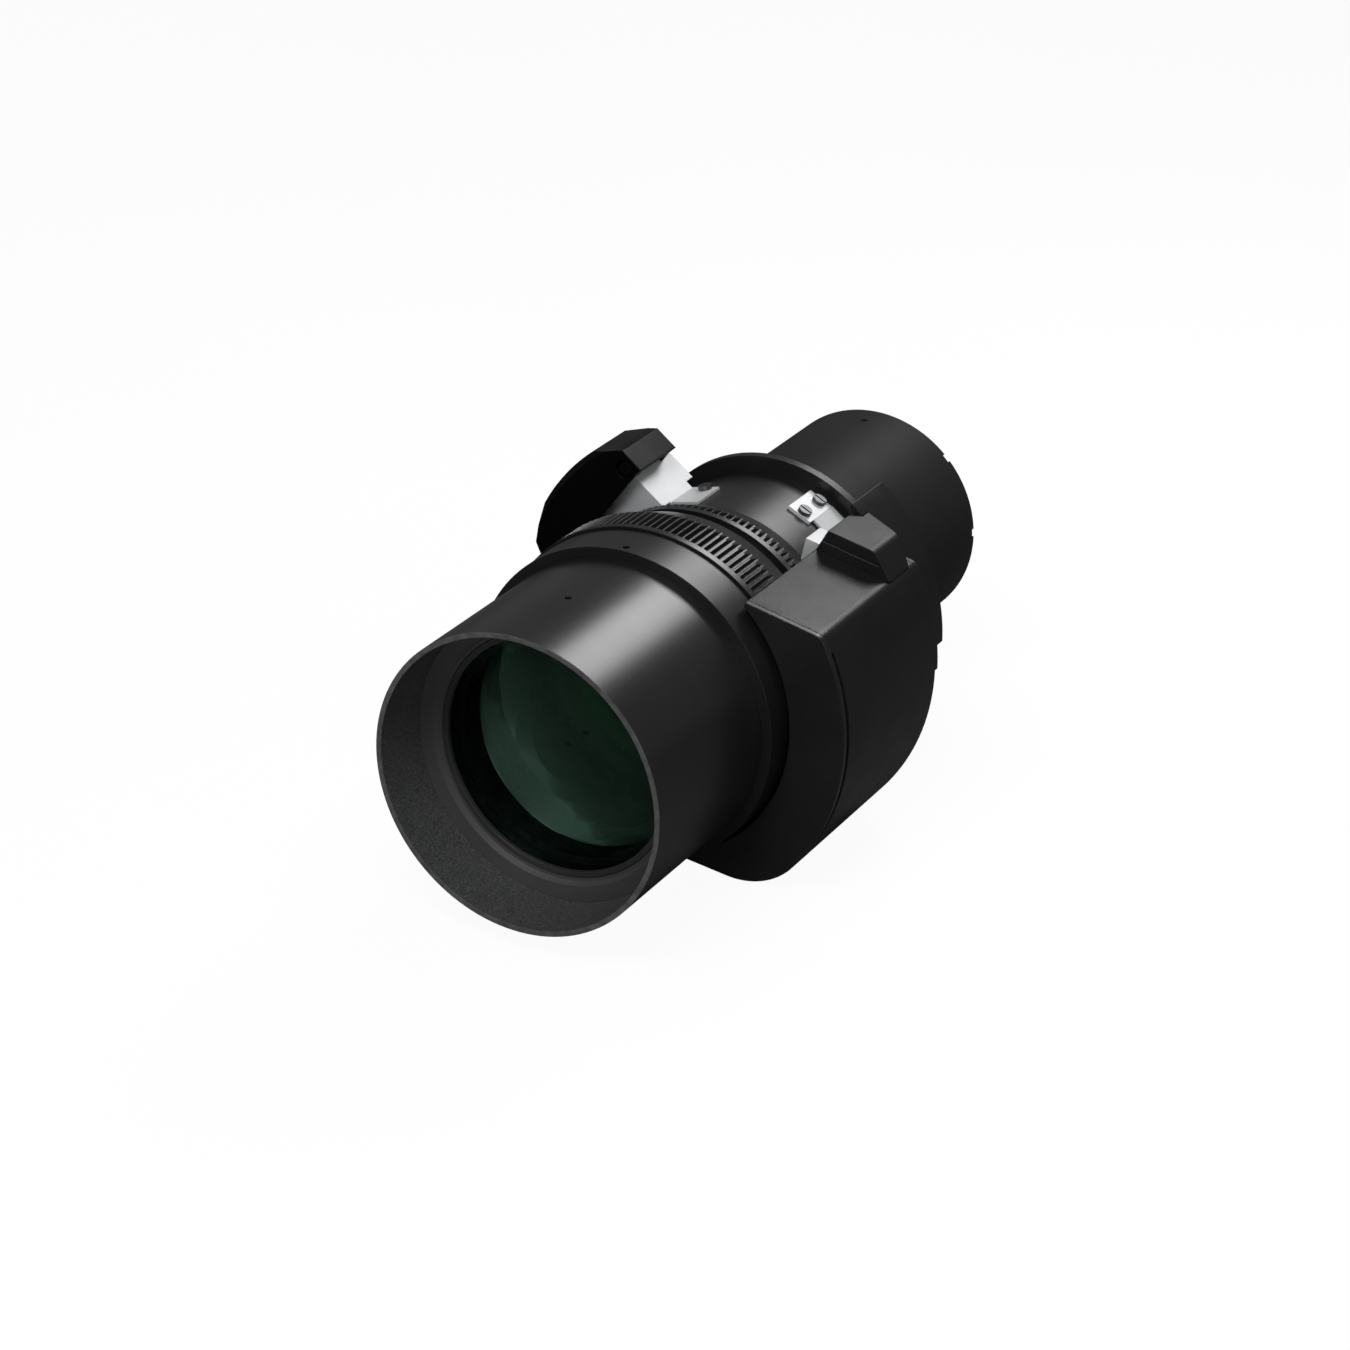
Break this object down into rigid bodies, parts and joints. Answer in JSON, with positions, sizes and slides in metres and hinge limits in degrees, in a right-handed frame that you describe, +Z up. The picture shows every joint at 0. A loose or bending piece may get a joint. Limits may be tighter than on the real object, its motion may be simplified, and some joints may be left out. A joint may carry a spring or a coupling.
{
  "type": "projection lens",
  "caption": "Motorised zoom lens for a projector: deep front barrel, toothed focus and zoom rings, motor cover, sheet brackets, mount flange and rear barrel.",
  "frame": {"origin": "centre of the mount flange's rear face, on the lens axis", "axes": "+Y along the lens axis towards the rear barrel (the front barrel points towards -Y), +Z up, +X to the side of the motor cover"},
  "size_m": [0.1449, 0.2513, 0.1214],
  "materials": {
    "black_barrel": "satin black anodised aluminium",
    "black_ring": "satin black glass-filled plastic",
    "black_plastic": "fine-grained half-gloss black plastic",
    "bright_sheet": "bright plated sheet steel",
    "bright_steel": "ground steel",
    "dark_steel": "blackened steel",
    "motor_case": "plated motor can",
    "pinion_brass": "cut brass",
    "coated_glass": "polished glass with a green coating",
    "board_green": "green circuit board",
    "socket_white": "off-white connector plastic"
  },
  "bodies": {
    "lens_body": {"main_tube": "black_barrel", "focus_seat": "black_barrel", "mount_flange": "black_barrel", "rear_barrel": "black_barrel", "rear_cell": "black_barrel", "rear_glass": "coated_glass", "rear_retaining_ring": "black_barrel", "rear_set_screw": "dark_steel", "aperture_stop": "black_barrel", "right_cover_plate": "black_plastic", "right_cover_shell": "black_plastic", "right_box_cover": "black_plastic", "right_aft_cover": "black_plastic", "right_bracket": "bright_sheet", "right_bracket_screws": "dark_steel", "focus_motor": "motor_case", "zoom_motor": "motor_case", "motor_screws": "bright_steel", "left_cover": "black_plastic", "left_cover_screw": "dark_steel", "left_bracket": "bright_sheet", "left_bracket_screw": "dark_steel", "sensor_board": "board_green", "board_socket": "socket_white"},
    "front_group": {"front_hood": "black_barrel", "collar": "black_barrel", "hood_set_screw": "dark_steel", "collar_set_screw": "dark_steel", "key_pins": "bright_steel", "front_cell": "black_barrel", "front_retaining_ring": "black_barrel", "front_glass": "coated_glass", "second_glass": "coated_glass"},
    "focus_gear": {"focus_ring": "black_ring"},
    "zoom_gear": {"zoom_ring": "black_ring"},
    "variator": {"variator_cell": "black_barrel", "variator_glass": "coated_glass", "variator_pins": "bright_steel"},
    "compensator": {"compensator_cell": "black_barrel", "compensator_glass": "coated_glass", "compensator_pins": "bright_steel"},
    "focus_drive": {"focus_pinion": "pinion_brass"},
    "zoom_drive": {"zoom_pinion": "pinion_brass"}
  },
  "joints": [
    {"name": "focus_turn", "type": "hinge", "parent": "lens_body", "child": "focus_gear", "pos_m": [0, -0.08, 0], "axis": [0, 1, 0], "range_deg": [0, 90]},
    {"name": "front_slide", "type": "slide", "parent": "lens_body", "child": "front_group", "axis": [0, -1, 0], "range_m": [0, 0.004]},
    {"name": "focus_pinion_spin", "type": "hinge", "parent": "lens_body", "child": "focus_drive", "pos_m": [0.05749, -0.08, -0.02323], "axis": [0, 1, 0], "range_deg": [-790, 5]},
    {"name": "zoom_turn", "type": "hinge", "parent": "lens_body", "child": "zoom_gear", "pos_m": [0, -0.05, 0], "axis": [0, 1, 0], "range_deg": [-30, 60]},
    {"name": "variator_slide", "type": "slide", "parent": "lens_body", "child": "variator", "axis": [0, -1, 0], "range_m": [-0.002, 0.004]},
    {"name": "compensator_slide", "type": "slide", "parent": "lens_body", "child": "compensator", "axis": [0, 1, 0], "range_m": [-0.00095, 0.0019]},
    {"name": "zoom_pinion_spin", "type": "hinge", "parent": "lens_body", "child": "zoom_drive", "pos_m": [0.05413, -0.05, 0.0197], "axis": [0, 1, 0], "range_deg": [-375, 190]}
  ],
  "couplings": [
    {"joint": "front_slide", "follows": "focus_turn", "m_per_rad": 0.00254},
    {"joint": "focus_pinion_spin", "follows": "focus_turn", "ratio": -8.6875},
    {"joint": "variator_slide", "follows": "zoom_turn", "m_per_rad": 0.0038},
    {"joint": "compensator_slide", "follows": "zoom_turn", "m_per_rad": 0.0018},
    {"joint": "zoom_pinion_spin", "follows": "zoom_turn", "ratio": -6.2}
  ]
}
